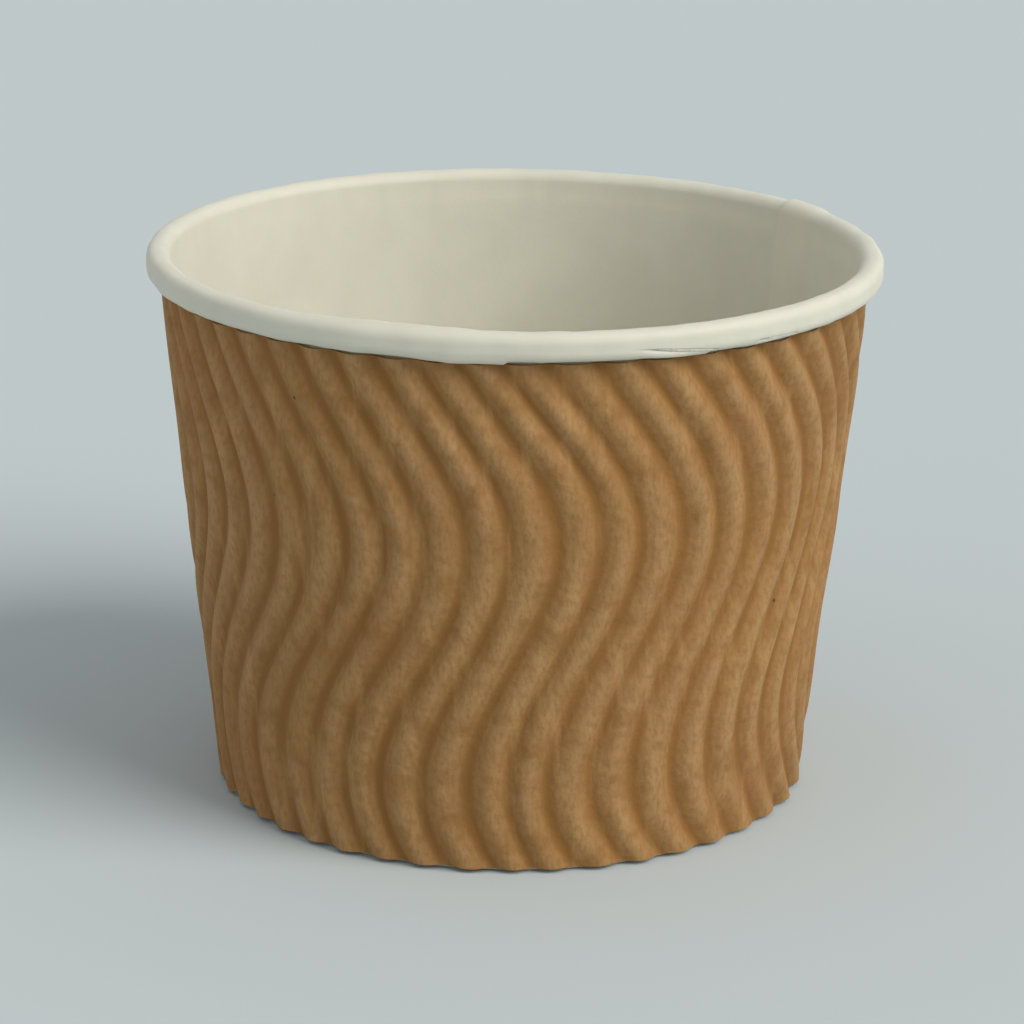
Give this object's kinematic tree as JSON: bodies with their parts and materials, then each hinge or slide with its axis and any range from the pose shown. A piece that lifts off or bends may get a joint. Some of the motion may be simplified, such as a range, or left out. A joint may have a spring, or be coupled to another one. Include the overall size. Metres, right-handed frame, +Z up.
{
  "type": "ripple paper cup",
  "caption": "Short conical paper cup with a rolled rim and a fluted kraft sleeve whose wavy flutes run up the wall.",
  "frame": {"origin": "centre of the base, on the surface that the cup stands on", "axes": "+Z up the cup's axis to its mouth, -Y towards the side that the picture shows, +X to that side's right"},
  "size_m": [0.09, 0.09, 0.068],
  "materials": {
    "coated_board": "satin",
    "disc_board": "satin",
    "kraft_sheet": "matte"
  },
  "bodies": {
    "root": {"cup_wall": "coated_board", "bottom_disc": "disc_board", "ripple_sleeve": "kraft_sheet"}
  },
  "joints": []
}
